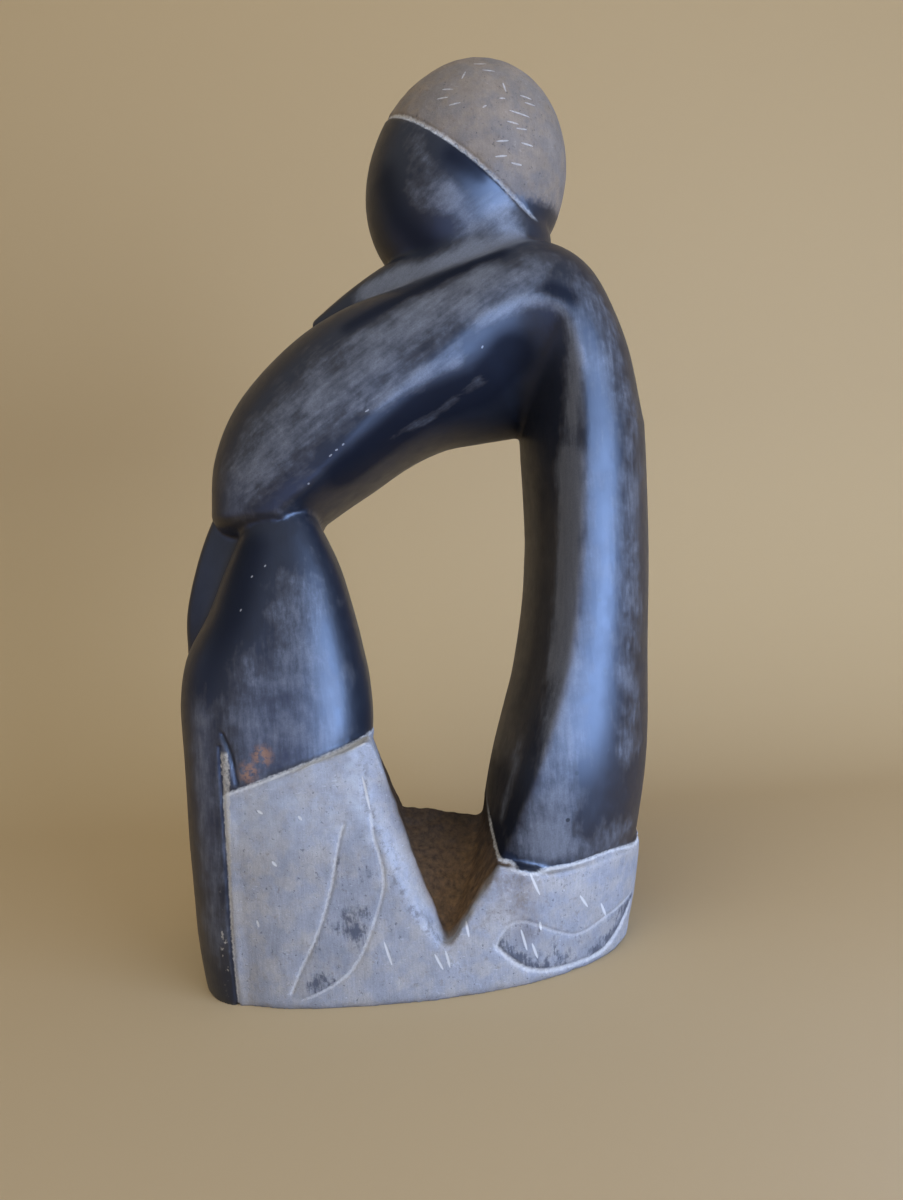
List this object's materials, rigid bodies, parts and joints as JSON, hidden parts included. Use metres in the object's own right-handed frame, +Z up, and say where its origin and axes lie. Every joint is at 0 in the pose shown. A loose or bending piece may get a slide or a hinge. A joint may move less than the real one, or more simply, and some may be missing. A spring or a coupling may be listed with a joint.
{
  "type": "stone thinker figure",
  "caption": "Abstract seated thinker carved from one block of dark stone, head bent over folded arms, open between body and legs.",
  "frame": {"origin": "centre of the figure's box on the plane of its flat underside", "axes": "+Z up through the head, -X towards the shins and knees, -Y towards the side that carries the leaf carving"},
  "size_m": [0.108, 0.068, 0.1966],
  "materials": {
    "smoked_stone": "burnished black on the skin, rough pale grey on the hair and the garment"
  },
  "bodies": {
    "root": {"thinker_figure": "smoked_stone"}
  },
  "joints": []
}
